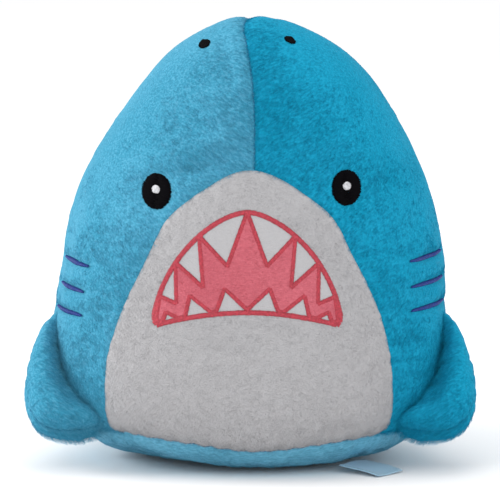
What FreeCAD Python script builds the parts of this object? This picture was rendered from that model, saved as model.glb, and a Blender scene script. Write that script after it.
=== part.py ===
import FreeCAD
import Part

import math
import os

"""Plush shark that sits upright on a slightly flattened base, snout in the air.

The body is a stuffed dome of four sewn panels: a left and a right side panel that
meet in a seam over the head and back, a white belly panel let into the front, and a
base panel. Eyes, nostrils and gills are embroidered, and the mouth is a sewn-on patch
edged with satin stitch. Two flippers, a back fin and a tail are separate stuffed
pieces sewn on along one edge, which is the line they flap about. A care label hangs
out from under the base.

Millimetres. +Z is up and the face looks along -Y. Left and right are as seen by
someone facing the shark, so right is +X. The origin is on the table, under the
body's widest point.
"""

Vector = FreeCAD.Vector

# Body
HEIGHT = 247.0
WIDEST_Z = 62.0
HALF_WIDTH = 109.0
FRONT_DEPTH = 92.0
BACK_DEPTH = 112.0
SNOUT_LEAN = 22.0       # how far the tip of the snout leans forward
FLATTENED = 3.0         # how much the table pushes the round base up
DOME_POWER = 1.97       # superellipse powers: 2 is an ellipse, more is boxier
BACK_POWER = 1.6
BASE_POWER = 3.0
RING_POINTS = 16        # points round one level section

# Fabric and sewing
FABRIC = 2.0            # a plush panel, with its short pile
SEAM_GAP = 0.6          # between two panels where they turn inwards
THREAD = 0.4
THREAD_TOP = 0.5        # the seam thread lies this far down in its seam
THREAD_BOTTOM = 1.5
EASE = 0.2              # space between a panel's inside and what lies against it
FIN_EASE = 0.6          # the same inside the flippers, fin and tail
SECTION_ANGLES = (-86, -75, -60, -40, -20, 0, 21, 42, 62, 80)   # of a stuffed piece
SECTION_POINTS = 12
END_POWER = 2.4         # how round a stuffed piece's ends are
NARROWEST = 6.0         # width of a stuffed piece at its very ends
BACKING = 0.3           # paper-like backing behind an embroidery
STITCH_TOP = 1.2        # how far satin stitch stands off its panel
PATCH_TOP = 0.8
CLEAR = 0.05            # between a panel and what is sewn flat on it
SEAM_Z = 16.0           # the seam round the base
ROOT_GAP = 1.5          # between a sewn-on piece and the body

# Face, as seen from the front
BELLY_TOP_Z = 169.0
BELLY_SHOULDER = (45.0, 143.0)
BELLY_HALF_WIDTH = 77.0
MOUTH_HALF_WIDTH = 52.5
MOUTH_TOP_Z = 148.0
MOUTH_BOTTOM_Z = 93.4
MOUTH_SAG = 8.4         # how much lower the mouth's corners are than its middle
MOUTH_POWER = 1.68
MOUTH_LINE = 2.3        # width of a satin stitch line
EYE = (52.0, 157.0)
EYE_RADII = (8.0, 9.5)
HIGHLIGHT_RADIUS = 2.5
NOSTRIL = (23.0, 235.0)
NOSTRIL_RADII = (3.3, 2.3)
GILL_HEIGHTS = (115.5, 101.5, 88.5)
GILL_Y = (-50.0, -8.0)
GILL_HALF_THICKNESS = 1.3

# Sewn-on pieces. A root goes from one (y, z) on the body's side or back to another.
FLIPPER_ROOT = ((-48.0, 25.0), (0.0, 84.0))
FLIPPER_YAW = math.radians(-12)
FLIPPER_OVERHANG = (3.0, -3.0)      # past the root's bottom and top end
FLIPPER_REACH = 31.5
FLIPPER_TAPER = (0.46, 0.27)        # how the reach falls off towards the top end
FLIPPER_ENDS = (4.0, 2.6)           # superellipse powers of the bottom and top end
FLIPPER_FULLNESS = 4.5
FLIPPER_HALF_THICKNESS = 15.0
HINGE_DEPTH = 6.0       # how far outside the root's chord a curved seam bends
BACK_FIN_ROOT_Z = (182.0, 118.0)
BACK_FIN_SWEEP = 0.45
BACK_FIN_REACH = 46.0
BACK_FIN_HALF_THICKNESS = 9.0
TAIL_Z = 56.0
TAIL_STALK = (21.0, 26.0, 12.0)     # half height, length, half thickness
# Middle y and z, direction in degrees from +Y, half length, half width, half thickness
UPPER_LOBE = (143.0, 85.0, 60.0, 30.0, 12.5, 10.0)
LOWER_LOBE = (139.0, 40.0, -62.0, 21.0, 11.0, 9.5)

# Care label
LABEL_ROOT = Vector(56.0, -45.0, 4.9)
LABEL_YAW = math.radians(-39)
LABEL_LENGTH = 26.0
LABEL_WIDTH = 22.0
LABEL_DROP = 4.3
LABEL_THICKNESS = 0.5

FAR = 400.0


# ---------------------------------------------------------------- curves and helpers

def superellipse(t, power):
    """How wide a rounded form still is at t of the way from its middle to its end."""
    return max(0.0, 1.0 - abs(t) ** power) ** (1.0 / power)


def spline(points, closed=False):
    curve = Part.BSplineCurve()
    curve.interpolate(points, PeriodicFlag=closed)
    return curve.toShape()


def box(x0, x1, y0, y1, z0, z1):
    return Part.makeBox(x1 - x0, y1 - y0, z1 - z0, Vector(x0, y0, z0))


def save(name, shape):
    """One STEP holding the shape's solids. A node of several solids is a compound."""
    solids = shape.Solids
    if not solids:
        raise RuntimeError(name + " has no solid")
    whole = solids[0] if len(solids) == 1 else Part.makeCompound(solids)
    whole.exportStep(os.path.join("parts", name + ".step"))
    print(name, len(solids), "solid(s)", round(sum(s.Volume for s in solids)), "mm3")


def save_pair(name, shape):
    """A piece of the right side, and its mirror image on the left."""
    save("right_" + name, shape)
    save("left_" + name, shape.mirror(Vector(0, 0, 0), Vector(1, 0, 0)))


# ---------------------------------------------------------------- the body's form

def body_size(z, inset=0.0):
    """Half width, front depth, back depth and middle y of the body at height z."""
    if z >= WIDEST_Z:
        t = (z - WIDEST_Z) / (HEIGHT - inset - WIDEST_Z)
        front = superellipse(t, DOME_POWER)
        back = superellipse(t, BACK_POWER)
        middle = -SNOUT_LEAN * t * t
    else:
        t = (WIDEST_Z - z) / (WIDEST_Z + FLATTENED - inset)
        front = back = superellipse(t, BASE_POWER)
        middle = 0.0
    return (
        (HALF_WIDTH - inset) * front,
        (FRONT_DEPTH - inset) * front,
        (BACK_DEPTH - inset) * back,
        middle,
    )


def body_section(z, inset):
    """The body's closed outline at height z."""
    half_width, front, back, middle = body_size(z, inset)
    points = []
    for i in range(RING_POINTS):
        angle = 2 * math.pi * i / RING_POINTS
        depth = back if math.sin(angle) > 0 else front
        y = middle + depth * math.sin(angle)
        points.append(Vector(half_width * math.cos(angle), y, z))
    return Part.Wire([spline(points, closed=True)])


def body_skin(inset):
    """The whole body's form, moved inwards by inset, as one solid."""
    low = max(inset, 0.0)
    heights = [low + (WIDEST_Z - low) * share for share in (0, 0.05, 0.15, 0.35, 0.65)]
    rise = HEIGHT - inset - WIDEST_Z
    for degrees in (0, 18, 36, 53, 68, 80, 88):
        heights.append(WIDEST_Z + rise * math.sin(math.radians(degrees)))
    return Part.makeLoft([body_section(z, inset) for z in heights], True, False)


def body_layer(top, bottom):
    """A layer of the body between two insets; a negative inset stands proud of it."""
    return body_skin(top).cut(body_skin(bottom))


def in_body(point, grown):
    half_width, front, back, middle = body_size(point.z, -grown)
    if half_width <= 0:
        return False
    depth = back if point.y > middle else front
    return (point.x / half_width) ** 2 + ((point.y - middle) / depth) ** 2 < 1


def distance_out(point, direction):
    """How far to go from a point along a direction to be ROOT_GAP clear of the body."""
    step = 0.1
    reach = -60.0
    while in_body(point + direction * reach, ROOT_GAP):
        reach += step
    return reach


def body_side(y, z):
    """The point of the body's right side at y and z."""
    half_width, front, back, middle = body_size(z)
    depth = back if y > middle else front
    return Vector(half_width * superellipse((y - middle) / depth, 2), y, z)


def body_back(z):
    """The point of the body's back at height z."""
    half_width, front, back, middle = body_size(z)
    return Vector(0, middle + back, z)


# ---------------------------------------------------------------- outlines on the face

def front_prism(outline):
    """A wire or face drawn in x and z, pushed through the front half of the body."""
    face = Part.Face(outline) if isinstance(outline, Part.Wire) else outline.copy()
    face.translate(Vector(0, -FAR, 0))
    return face.extrude(Vector(0, FAR - SNOUT_LEAN, 0))


def ellipse_wire(centre, radius_x, radius_z):
    radii = (radius_x, radius_z)
    wide = max(radii)
    shape = Part.makeCircle(1.0, Vector(0, 0, 0), Vector(0, -1, 0))
    matrix = FreeCAD.Matrix()
    matrix.scale(radii[0], wide, radii[1])
    shape = shape.transformGeometry(matrix)
    shape.translate(Vector(centre[0], 0, centre[1]))
    return Part.Wire([shape])


def belly_wire(grow=0.0):
    """The belly panel's outline, running below the base seam; grow moves it outwards."""
    wide = BELLY_HALF_WIDTH
    side = [
        BELLY_SHOULDER,
        (wide * 0.8, 108.0),
        (wide * 0.96, 76.0),
        (wide, 55.0),
        (wide * 0.97, 35.0),
        (wide * 0.86, 10.0),
    ]
    crown = (BELLY_SHOULDER[0] * 0.5, BELLY_TOP_Z - 9.0)
    middle = Vector(0, 0, 70.0)

    def grown(x, z):
        point = Vector(x, 0, z)
        return point + (point - middle).normalize() * grow

    right = [grown(x, z) for x, z in side]
    left = [grown(-x, z) for x, z in reversed(side)]
    over = [left[-1], grown(-crown[0], crown[1]), grown(0, BELLY_TOP_Z)]
    over += [grown(*crown), right[0]]
    bottom = Part.makeLine(right[-1], left[0])
    return Part.Wire([spline(left), spline(over), spline(right), bottom])


# ---------------------------------------------------------------- mouth

def mouth_arch_z(x, grow=0.0):
    """Height of the arch over the mouth at x."""
    low = MOUTH_BOTTOM_Z - MOUTH_SAG
    share = superellipse(x / (MOUTH_HALF_WIDTH + grow), MOUTH_POWER)
    return low + (MOUTH_TOP_Z - low + grow) * share


def mouth_bottom_z(x):
    return MOUTH_BOTTOM_Z - MOUTH_SAG * (x / MOUTH_HALF_WIDTH) ** 2


def mouth_zigzag():
    """The pink patch's corners, right half: upper teeth from the middle out, then lower.

    Each pair is x as a share of the half width and height as a share of the space
    between the mouth's bottom edge and the arch at that x.
    """
    upper = [(0.0, 1.0), (0.21, 0.49), (0.51, 1.0), (0.465, 0.335), (0.76, 1.0)]
    upper += [(0.75, 0.28), (0.93, 0.92)]
    lower = [(0.965, 0.2), (0.9, 0.04), (0.865, 0.25), (0.73, 0.03), (0.66, 0.03)]
    lower += [(0.61, 0.31), (0.385, 0.03), (0.33, 0.03), (0.24, 0.265), (0.0, 0.03)]
    corners = []
    for share_x, share_z in upper + lower:
        x = share_x * MOUTH_HALF_WIDTH
        low = mouth_bottom_z(x)
        corners.append((x, low + share_z * (mouth_arch_z(x) - low)))
    return corners


def thick_line(start, end, width):
    """A straight band between two points of the face, with round ends."""
    a = Vector(start[0], 0, start[1])
    b = Vector(end[0], 0, end[1])
    tip = (b - a).normalize() * (width / 2)
    across = Vector(tip.z, 0, -tip.x)
    edges = [
        Part.makeLine(a + across, b + across),
        Part.Arc(b + across, b + tip, b - across).toShape(),
        Part.makeLine(b - across, a - across),
        Part.Arc(a - across, a - tip, a + across).toShape(),
    ]
    return Part.Face(Part.Wire(edges))


def mouth_outline(grow):
    """The closed line round the whole mouth, moved outwards by grow."""
    wide = MOUTH_HALF_WIDTH + grow
    points = []
    for degrees in range(0, 181, 15):
        x = wide * math.cos(math.radians(degrees))
        points.append(Vector(x, 0, mouth_arch_z(x, grow)))
    corner = Vector(wide * 0.86, 0, mouth_bottom_z(wide) + 0.6 - grow)
    points += [Vector(-corner.x, 0, corner.z), Vector(0, 0, MOUTH_BOTTOM_Z - grow), corner]
    return Part.Face(Part.Wire([spline(points, closed=True)]))


def make_mouth(stitch_layer, patch_layer):
    corners = mouth_zigzag()
    half_line = MOUTH_LINE / 2
    bands = [mouth_outline(half_line).cut(mouth_outline(-half_line))]
    for start, end in zip(corners, corners[1:]):
        bands.append(thick_line(start, end, MOUTH_LINE))
        bands.append(thick_line((-start[0], start[1]), (-end[0], end[1]), MOUTH_LINE))
    prisms = [front_prism(band) for band in bands]
    stitches = prisms[0].multiFuse(prisms[1:]).removeSplitter()

    around = [Vector(x, 0, z) for x, z in corners]
    around += [Vector(-x, 0, z) for x, z in reversed(corners[1:-1])]
    patch = front_prism(Part.Wire(Part.makePolygon(around + [around[0]])))
    save("mouth_stitching", stitch_layer.common(stitches))
    save("mouth_patch", patch_layer.common(patch.cut(stitches)))


# ---------------------------------------------------------------- body pieces

def make_body():
    shell = body_layer(0.0, FABRIC)
    half_gap = SEAM_GAP / 2
    half_thread = THREAD / 2
    above_seam = box(-FAR, FAR, -FAR, FAR, SEAM_Z + half_gap, FAR)
    below_seam = box(-FAR, FAR, -FAR, FAR, -FAR, SEAM_Z - half_gap)
    upper = shell.common(above_seam)
    right_half = upper.common(box(half_gap, FAR, -FAR, FAR, 0, FAR))
    save("base_panel", shell.common(below_seam))
    save("belly_panel", upper.common(front_prism(belly_wire())))
    save_pair("side_panel", right_half.cut(front_prism(belly_wire(SEAM_GAP))))
    save("body_stuffing", body_skin(FABRIC + BACKING + 2 * EASE))

    thread = body_layer(THREAD_TOP, THREAD_BOTTOM)
    base_slab = box(-FAR, FAR, -FAR, FAR, SEAM_Z - half_thread, SEAM_Z + half_thread)
    save("base_seam_thread", thread.common(base_slab))
    high_thread = thread.common(above_seam)
    belly_edge = front_prism(belly_wire(half_gap + half_thread))
    belly_ring = belly_edge.cut(front_prism(belly_wire(half_gap - half_thread)))
    save("belly_seam_thread", high_thread.common(belly_ring))
    centre_slab = box(-half_thread, half_thread, -FAR, FAR, 0, FAR)
    save("centre_seam_thread", high_thread.common(centre_slab.cut(belly_edge)))


def make_gills(stitch_layer):
    front, rear = GILL_Y
    middle = (front + rear) / 2
    gills = []
    for z in GILL_HEIGHTS:
        tips = (Vector(0, front, z), Vector(0, rear, z))
        top = Vector(0, middle, z + GILL_HALF_THICKNESS)
        low = Vector(0, middle, z - GILL_HALF_THICKNESS)
        lens = Part.Wire([spline([tips[0], top, tips[1]]), spline([tips[1], low, tips[0]])])
        gills.append(stitch_layer.common(Part.Face(lens).extrude(Vector(FAR, 0, 0))))
    save_pair("gill_stitching", Part.makeCompound(gills))


def make_face():
    stitch_layer = body_layer(-STITCH_TOP, -CLEAR)
    patch_layer = body_layer(-PATCH_TOP, -CLEAR)
    backing_layer = body_layer(FABRIC + EASE, FABRIC + EASE + BACKING)
    make_mouth(stitch_layer, patch_layer)
    mouth_middle = (MOUTH_TOP_Z + MOUTH_BOTTOM_Z) / 2
    mouth_backing = ellipse_wire((0, mouth_middle), MOUTH_HALF_WIDTH + 4, 34)
    save("mouth_backing", backing_layer.common(front_prism(mouth_backing)))

    highlight = front_prism(ellipse_wire(EYE, HIGHLIGHT_RADIUS, HIGHLIGHT_RADIUS))
    eye = front_prism(ellipse_wire(EYE, *EYE_RADII)).cut(highlight)
    nostril = front_prism(ellipse_wire(NOSTRIL, *NOSTRIL_RADII))
    eye_backing = front_prism(ellipse_wire(EYE, EYE_RADII[0] + 5, EYE_RADII[1] + 5))
    save_pair("eye_stitching", stitch_layer.common(eye))
    save_pair("eye_highlight", stitch_layer.common(highlight))
    save_pair("nostril_stitching", stitch_layer.common(nostril))
    save_pair("eye_backing", backing_layer.common(eye_backing))
    make_gills(stitch_layer)


# ---------------------------------------------------------------- sewn-on pieces

class Pillow:
    """A stuffed piece drawn in a plane: sections across `along`, plump to both sides.

    edges(t) gives how far along `out` a section starts and ends, with t from -1 to 1
    from one end of the piece to the other.
    """

    def __init__(self, middle, along, out, half_length, half_thickness, edges,
                 fullness=END_POWER):
        self.middle = middle
        self.along = along
        self.out = out
        self.side = out.cross(along).normalize()
        self.half_length = half_length
        self.half_thickness = half_thickness
        self.edges = edges
        self.fullness = fullness    # power of the low end's roundness

    def solid(self, inset):
        wires = []
        for degrees in SECTION_ANGLES:
            t = math.sin(math.radians(degrees))
            power = self.fullness if t < 0 else END_POWER
            start, end = self.edges(t)
            half_width = max(end - start, NARROWEST) / 2 - inset
            thick = (self.half_thickness - inset) * superellipse(t, power)
            centre = self.middle + self.along * ((self.half_length - inset) * t)
            centre += self.out * ((start + end) / 2)
            points = []
            for i in range(SECTION_POINTS):
                angle = 2 * math.pi * i / SECTION_POINTS
                point = centre + self.out * (half_width * math.cos(angle))
                points.append(point + self.side * (thick * math.sin(angle)))
            wires.append(Part.Wire([spline(points, closed=True)]))
        return Part.makeLoft(wires, True, False)


def stuffed_pieces(pillows):
    """Panels of both sides, seam thread and stuffing of one piece made of pillows."""
    def solid(inset):
        whole = pillows[0].solid(inset)
        for pillow in pillows[1:]:
            whole = whole.fuse(pillow.solid(inset))
        return whole

    first = pillows[0]
    turn = FreeCAD.Rotation(first.out, first.along, first.side, "ZXY")
    place = FreeCAD.Placement(first.middle, turn)

    def slab(low, high):
        piece = box(-FAR, FAR, -FAR, FAR, low, high)
        piece.Placement = place
        return piece

    shell = solid(0.0).cut(solid(FABRIC))
    thread = solid(THREAD_TOP).cut(solid(THREAD_BOTTOM))
    return {
        "upper": shell.common(slab(SEAM_GAP / 2, FAR)),
        "lower": shell.common(slab(-FAR, -SEAM_GAP / 2)),
        "seam_thread": thread.common(slab(-THREAD / 2, THREAD / 2)),
        "stuffing": solid(FABRIC + FIN_EASE).cut(shell).cut(thread),
    }


def make_flippers():
    """Both flippers. Each is sewn to the body along its near-upright inner edge."""
    low, high = (body_side(y, z) for y, z in FLIPPER_ROOT)
    along = (high - low).normalize()
    outwards = Vector(math.cos(FLIPPER_YAW), math.sin(FLIPPER_YAW), 0)
    out = (outwards - along * outwards.dot(along)).normalize()
    bottom = low - along * FLIPPER_OVERHANG[0]
    top = high + along * FLIPPER_OVERHANG[1]
    middle = (bottom + top) / 2
    half_length = (top - bottom).Length / 2

    def edges(t):
        start = distance_out(middle + along * (half_length * t), out)
        roundness = superellipse(t, FLIPPER_ENDS[1] if t > 0 else FLIPPER_ENDS[0])
        taper = 1 - FLIPPER_TAPER[0] * t - FLIPPER_TAPER[1] * t * t
        return start, max(FLIPPER_REACH * taper * roundness, start + NARROWEST / 2)

    print("flipper hinge", middle + out * HINGE_DEPTH, "along", along)
    flipper = Pillow(middle, along, out, half_length, FLIPPER_HALF_THICKNESS, edges,
                     FLIPPER_FULLNESS)
    pieces = stuffed_pieces([flipper])
    if flipper.side.y > 0:
        pieces["upper"], pieces["lower"] = pieces["lower"], pieces["upper"]
    save_pair("flipper_front_panel", pieces["upper"])
    save_pair("flipper_rear_panel", pieces["lower"])
    save_pair("flipper_seam_thread", pieces["seam_thread"])
    save_pair("flipper_stuffing", pieces["stuffing"])


def save_upright(name, pieces, side):
    """An upright piece in the middle plane: its panels are a right and a left one."""
    if side.x < 0:
        pieces["upper"], pieces["lower"] = pieces["lower"], pieces["upper"]
    save(name + "_right_panel", pieces["upper"])
    save(name + "_left_panel", pieces["lower"])
    save(name + "_seam_thread", pieces["seam_thread"])
    save(name + "_stuffing", pieces["stuffing"])


def make_back_fin():
    """The fin on the back, swept towards the tail, sewn along its long inner edge."""
    top, bottom = (body_back(z) for z in BACK_FIN_ROOT_Z)
    along = (bottom - top).normalize()
    straight_out = Vector(0, -along.z, along.y)
    out = (straight_out + along * BACK_FIN_SWEEP).normalize()
    middle = (bottom + top) / 2
    half_length = (bottom - top).Length / 2

    def edges(t):
        start = distance_out(middle + along * (half_length * t), out)
        reach = BACK_FIN_REACH * superellipse(t, 2) * (1 + 0.3 * t)
        return start, start + max(reach, 3)

    print("back fin hinge", middle + straight_out * HINGE_DEPTH, "along", along)
    fin = Pillow(middle, along, out, half_length, BACK_FIN_HALF_THICKNESS, edges)
    save_upright("back_fin", stuffed_pieces([fin]), fin.side)


def lobe(y, z, degrees, half_length, half_width, half_thickness):
    """One lobe of the tail: a plump leaf in the middle plane."""
    angle = math.radians(degrees)
    along = Vector(0, math.cos(angle), math.sin(angle))
    out = Vector(0, math.sin(angle), -math.cos(angle))

    def edges(t):
        half = half_width * superellipse(t, 2) * (1 - 0.2 * t)
        return -half, half

    return Pillow(Vector(0, y, z), along, out, half_length, half_thickness, edges)


def make_tail():
    """The tail: a short stalk that opens into an upper and a lower lobe."""
    half_height, length, half_thickness = TAIL_STALK
    middle = Vector(0, BACK_DEPTH, TAIL_Z)
    along = Vector(0, 0, 1)
    out = Vector(0, 1, 0)

    def edges(t):
        start = distance_out(middle + along * (half_height * t), out)
        return start, start + length * (1 - 0.25 * t * t)

    stalk = Pillow(middle, along, out, half_height, half_thickness, edges)
    print("tail hinge", middle + out * ROOT_GAP)
    save_upright("tail", stuffed_pieces([stalk, lobe(*UPPER_LOBE), lobe(*LOWER_LOBE)]), stalk.side)


# ---------------------------------------------------------------- care label

def make_label():
    """A satin label sewn under the base, its free end leaning down to the table."""
    out = Vector(math.cos(LABEL_YAW), math.sin(LABEL_YAW), 0)
    across = Vector(-out.y, out.x, 0)
    near = LABEL_ROOT - across * (LABEL_WIDTH / 2)
    far = near + out * LABEL_LENGTH - Vector(0, 0, LABEL_DROP)
    up = Vector(0, 0, LABEL_THICKNESS)
    edge = Part.makePolygon([near, far, far + up, near + up, near])
    print("label hinge", LABEL_ROOT, "along", across)
    save("care_label", Part.Face(Part.Wire(edge)).extrude(across * LABEL_WIDTH))


os.makedirs("parts", exist_ok=True)
make_body()
make_face()
make_flippers()
make_back_fin()
make_tail()
make_label()
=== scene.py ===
"""Looks of the plush shark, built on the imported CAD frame.

Every plush panel is a thin shell of its own with rolled-in edges, puffed out by a short
cloth simulation. Its pile is particle hair over a shader that carries the same streaks,
so that the meshes look like plush without the hair as well. Thread work is real geometry:
one small tube per stitch. Lengths are in metres, with MM for millimetres.
"""

import math

import bmesh
import bpy
import numpy as np
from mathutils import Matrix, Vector, noise
from mathutils.bvhtree import BVHTree
from mathutils.kdtree import KDTree


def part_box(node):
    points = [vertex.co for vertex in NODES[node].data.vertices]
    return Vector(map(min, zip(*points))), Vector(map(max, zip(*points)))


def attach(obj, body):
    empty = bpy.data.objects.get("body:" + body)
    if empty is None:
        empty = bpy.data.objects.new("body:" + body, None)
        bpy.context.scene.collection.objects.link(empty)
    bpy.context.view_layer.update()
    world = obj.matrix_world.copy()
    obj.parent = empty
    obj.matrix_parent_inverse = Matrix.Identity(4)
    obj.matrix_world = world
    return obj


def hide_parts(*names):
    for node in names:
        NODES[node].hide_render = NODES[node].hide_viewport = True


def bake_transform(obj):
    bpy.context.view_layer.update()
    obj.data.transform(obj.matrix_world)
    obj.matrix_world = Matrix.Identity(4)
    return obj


MM = 0.001
FABRIC = 0.7 * MM           # from the stuffing's surface to the cloth the pile stands on
FINE_SPHERE = 7             # icosphere level of the body's panels, and of its simulation
COARSE_SPHERE = 6
SEED = 11

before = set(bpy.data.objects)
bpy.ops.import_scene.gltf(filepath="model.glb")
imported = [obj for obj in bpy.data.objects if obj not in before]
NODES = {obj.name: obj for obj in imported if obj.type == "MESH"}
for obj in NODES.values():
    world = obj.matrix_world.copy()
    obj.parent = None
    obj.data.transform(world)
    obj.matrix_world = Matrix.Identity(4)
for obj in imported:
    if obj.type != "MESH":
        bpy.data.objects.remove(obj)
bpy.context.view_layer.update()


# ---------------------------------------------------------------- colour and materials

def srgb(red, green, blue):
    """A display colour, 0 to 255, as the linear RGBA a shader takes."""
    linear = []
    for channel in (red, green, blue):
        c = channel / 255
        linear.append(c / 12.92 if c <= 0.04045 else ((c + 0.055) / 1.055) ** 2.4)
    return (*linear, 1.0)


def mixed(a, b, share):
    return tuple(x * (1 - share) + y * share for x, y in zip(a, b))


def scaled(colour, gain):
    """The same hue, darker or brighter."""
    return (*(min(1.0, c * gain) for c in colour[:3]), 1.0)


class Shader:
    """A small helper that adds and joins nodes of one material."""

    def __init__(self, name):
        self.material = bpy.data.materials.new(name)
        self.material.use_nodes = True
        self.tree = self.material.node_tree
        self.surface = self.tree.nodes["Principled BSDF"]

    def add(self, kind, **inputs):
        node = self.tree.nodes.new(kind)
        for key, value in inputs.items():
            self.set(node, key.replace("_", " "), value)
        return node

    def set(self, node, socket, value):
        if isinstance(value, bpy.types.NodeSocket):
            self.tree.links.new(value, node.inputs[socket])
        else:
            node.inputs[socket].default_value = value

    def look(self, **inputs):
        for key, value in inputs.items():
            self.set(self.surface, key.replace("_", " "), value)

    def place(self, scale, lean=0.0):
        """Object position, turned about Y by lean, then stretched: a small scale along an
        axis makes streaks along it."""
        where = self.add("ShaderNodeTexCoord")
        turned = self.add("ShaderNodeMapping", Vector=where.outputs["Object"],
                          Rotation=(0.0, lean, 0.0))
        mapping = self.add("ShaderNodeMapping", Vector=turned.outputs["Vector"], Scale=scale)
        return mapping.outputs["Vector"]

    def noise(self, vector, detail=3.0, scale=1.0):
        node = self.add("ShaderNodeTexNoise", Vector=vector, Scale=scale, Detail=detail,
                        Roughness=0.6)
        return node.outputs["Fac"]

    def ramp(self, value, stops):
        node = self.add("ShaderNodeValToRGB", Fac=value)
        elements = node.color_ramp.elements
        while len(elements) < len(stops):
            elements.new(0.5)
        for element, (place, colour) in zip(elements, stops):
            element.position = place
            element.color = colour
        return node.outputs["Color"]

    def blend_colours(self, share, a, b):
        node = self.tree.nodes.new("ShaderNodeMix")
        node.data_type = "RGBA"
        for socket, value in ((0, share), (6, a), (7, b)):      # factor and the two colours
            self.set(node, socket, value)
        return node.outputs[2]

    def bump(self, height, strength, distance):
        node = self.add("ShaderNodeBump", Height=height, Strength=strength, Distance=distance)
        self.look(Normal=node.outputs["Normal"])


def nap_colours(s, colour, pile_scale, contrast, lean, lift):
    """Streaks along the nap, and broad patches where the pile is brushed the other way."""
    fine, long = 900 / pile_scale, 220 / pile_scale
    streaks = s.noise(s.place((long, fine, fine), lean))
    patches = s.noise(s.place((30, 30, 24)), detail=1.0)
    dark = scaled(colour, 1 - contrast)
    # lift whitens this tone. The sides get different lifts as part of their painted lightness.
    light = mixed(scaled(colour, 1 + 0.6 * contrast), (1, 1, 1, 1), lift * contrast)
    streaked = s.ramp(streaks, [(0.36, dark), (0.5, colour), (0.64, light)])
    shade = s.ramp(patches, [(0.36, scaled(colour, 1 - 0.35 * contrast)), (0.62, light)])
    napped = s.blend_colours(0.3, streaked, shade)
    return streaks, like_the_back(s, napped) if lean else napped


def like_the_back(s, napped):
    """The painted light and shade that set the two sides apart, standing in for light catching
    their naps, show only at the front, where their naps meet; towards the back both fade to one
    blue.
    """
    where = s.add("ShaderNodeTexCoord")
    along = s.add("ShaderNodeSeparateXYZ", Vector=where.outputs["Object"]).outputs["Y"]
    share = s.add("ShaderNodeMapRange", Value=along, From_Min=-20 * MM, From_Max=50 * MM,
                  To_Max=0.6)
    return s.blend_colours(share.outputs["Result"], napped, BLUE_BACK)


def plush_cloth(name, colour, pile_scale=1.0, contrast=0.3, lean=0.0, lift=0.16):
    """The fabric itself: streaks along the nap, tufts, and a soft sheen."""
    s = Shader(name)
    streaks, napped = nap_colours(s, colour, pile_scale, contrast, lean, lift)
    tufts = s.noise(s.place((900, 900, 900)), detail=2.0)
    s.look(Base_Color=napped, Roughness=0.85)
    s.look(Sheen_Weight=0.3, Sheen_Roughness=0.4, Sheen_Tint=mixed(colour, (1, 1, 1, 1), lift))
    s.look(Specular_IOR_Level=0.1)
    height = s.add("ShaderNodeMath")
    s.set(height, 0, streaks)
    s.set(height, 1, tufts)
    s.bump(height.outputs[0], 0.55, 0.6 * MM)
    return s.material


def pile_fibre(name, root, colour, tip, lift, pile_scale=1.0, contrast=0.3, lean=0.0):
    """The fibres of a plush: painted shade at the root and painted light at the tip, in the
    cloth's streaks.
    """
    s = Shader(name)
    hair = s.add("ShaderNodeHairInfo")
    _, napped = nap_colours(s, colour, pile_scale, contrast, lean, lift)
    # Painted shade towards the root and painted light towards the tip of every strand. The random
    # ramp mixes the same shaded and lit colours.
    along = s.ramp(hair.outputs["Intercept"], [(0.0, root), (0.4, colour), (1.0, tip)])
    varied = s.ramp(hair.outputs["Random"], [(0.0, root), (0.5, colour), (1.0, tip)])
    strand = s.blend_colours(0.5, along, varied)
    s.look(Base_Color=s.blend_colours(0.45, strand, napped), Roughness=0.6)
    s.look(Specular_IOR_Level=0.08)
    return s.material


def thread(name, colour, shine=0.3, roughness=0.5):
    """Embroidery thread: fine twist along the strand and a silky highlight."""
    s = Shader(name)
    twist = s.noise(s.place((1000, 1000, 1000)), detail=2.0)
    tones = [(0.35, scaled(colour, 0.75)), (0.65, scaled(colour, 1.2))]
    s.look(Base_Color=s.ramp(twist, tones), Roughness=roughness)
    s.look(Specular_IOR_Level=shine)
    s.bump(twist, 0.3, 0.1 * MM)
    return s.material


def woven_satin(name, colour):
    s = Shader(name)
    where = s.place((1, 1, 1))
    weave = s.add("ShaderNodeTexWave", Vector=where, Scale=520, Distortion=1.2)
    # Painted shade: the label is a little darker in soft random patches, standing in for shade in
    # its folds.
    fold = s.noise(where, detail=2.0, scale=60)
    tint = s.ramp(fold, [(0.3, mixed(colour, (0, 0, 0, 1), 0.1)), (0.7, colour)])
    s.look(Base_Color=tint, Roughness=0.34, Sheen_Weight=0.2, Specular_IOR_Level=0.6)
    s.bump(weave.outputs["Fac"], 0.25, 0.1 * MM)
    return s.material


# Painted light and shade: both side panels are one blue fabric. The left is painted lighter and
# paler and the right deeper, standing in for light catching their mirrored naps. BLUE_BACK is the
# one blue they fade to towards the back.
BLUE_LEFT = srgb(56, 142, 172)
BLUE_RIGHT = srgb(5, 137, 171)
# Painted light: the base band's blue is painted brighter than the fabric, to offset the shade
# under the body.
BLUE_BASE = srgb(88, 158, 185)
BLUE_BACK = srgb(36, 136, 166)
WHITE = srgb(170, 169, 171)
PINK = srgb(190, 96, 108)
CORAL = srgb(172, 54, 68)
BLACK = srgb(4, 3, 6)
NAVY = srgb(20, 46, 122)
LABEL = srgb(150, 186, 208)
NAP = {"left": math.radians(-30), "right": math.radians(30), "base": 0.0}

# lift whitens the light streaks and the sheen tint. The left gets more than the right, as part of
# the painted lightness that sets the sides apart.
CLOTHS = {
    "left": plush_cloth("plush_left", BLUE_LEFT, lean=NAP["left"]),
    "right": plush_cloth("plush_right", BLUE_RIGHT, lean=NAP["right"], lift=0.03),
    "base": plush_cloth("plush_base", BLUE_BASE),
    "white": plush_cloth("plush_white", WHITE, 0.6, 0.03),
    "pink": plush_cloth("mouth_fabric", PINK, 0.5, 0.16),
}
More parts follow.
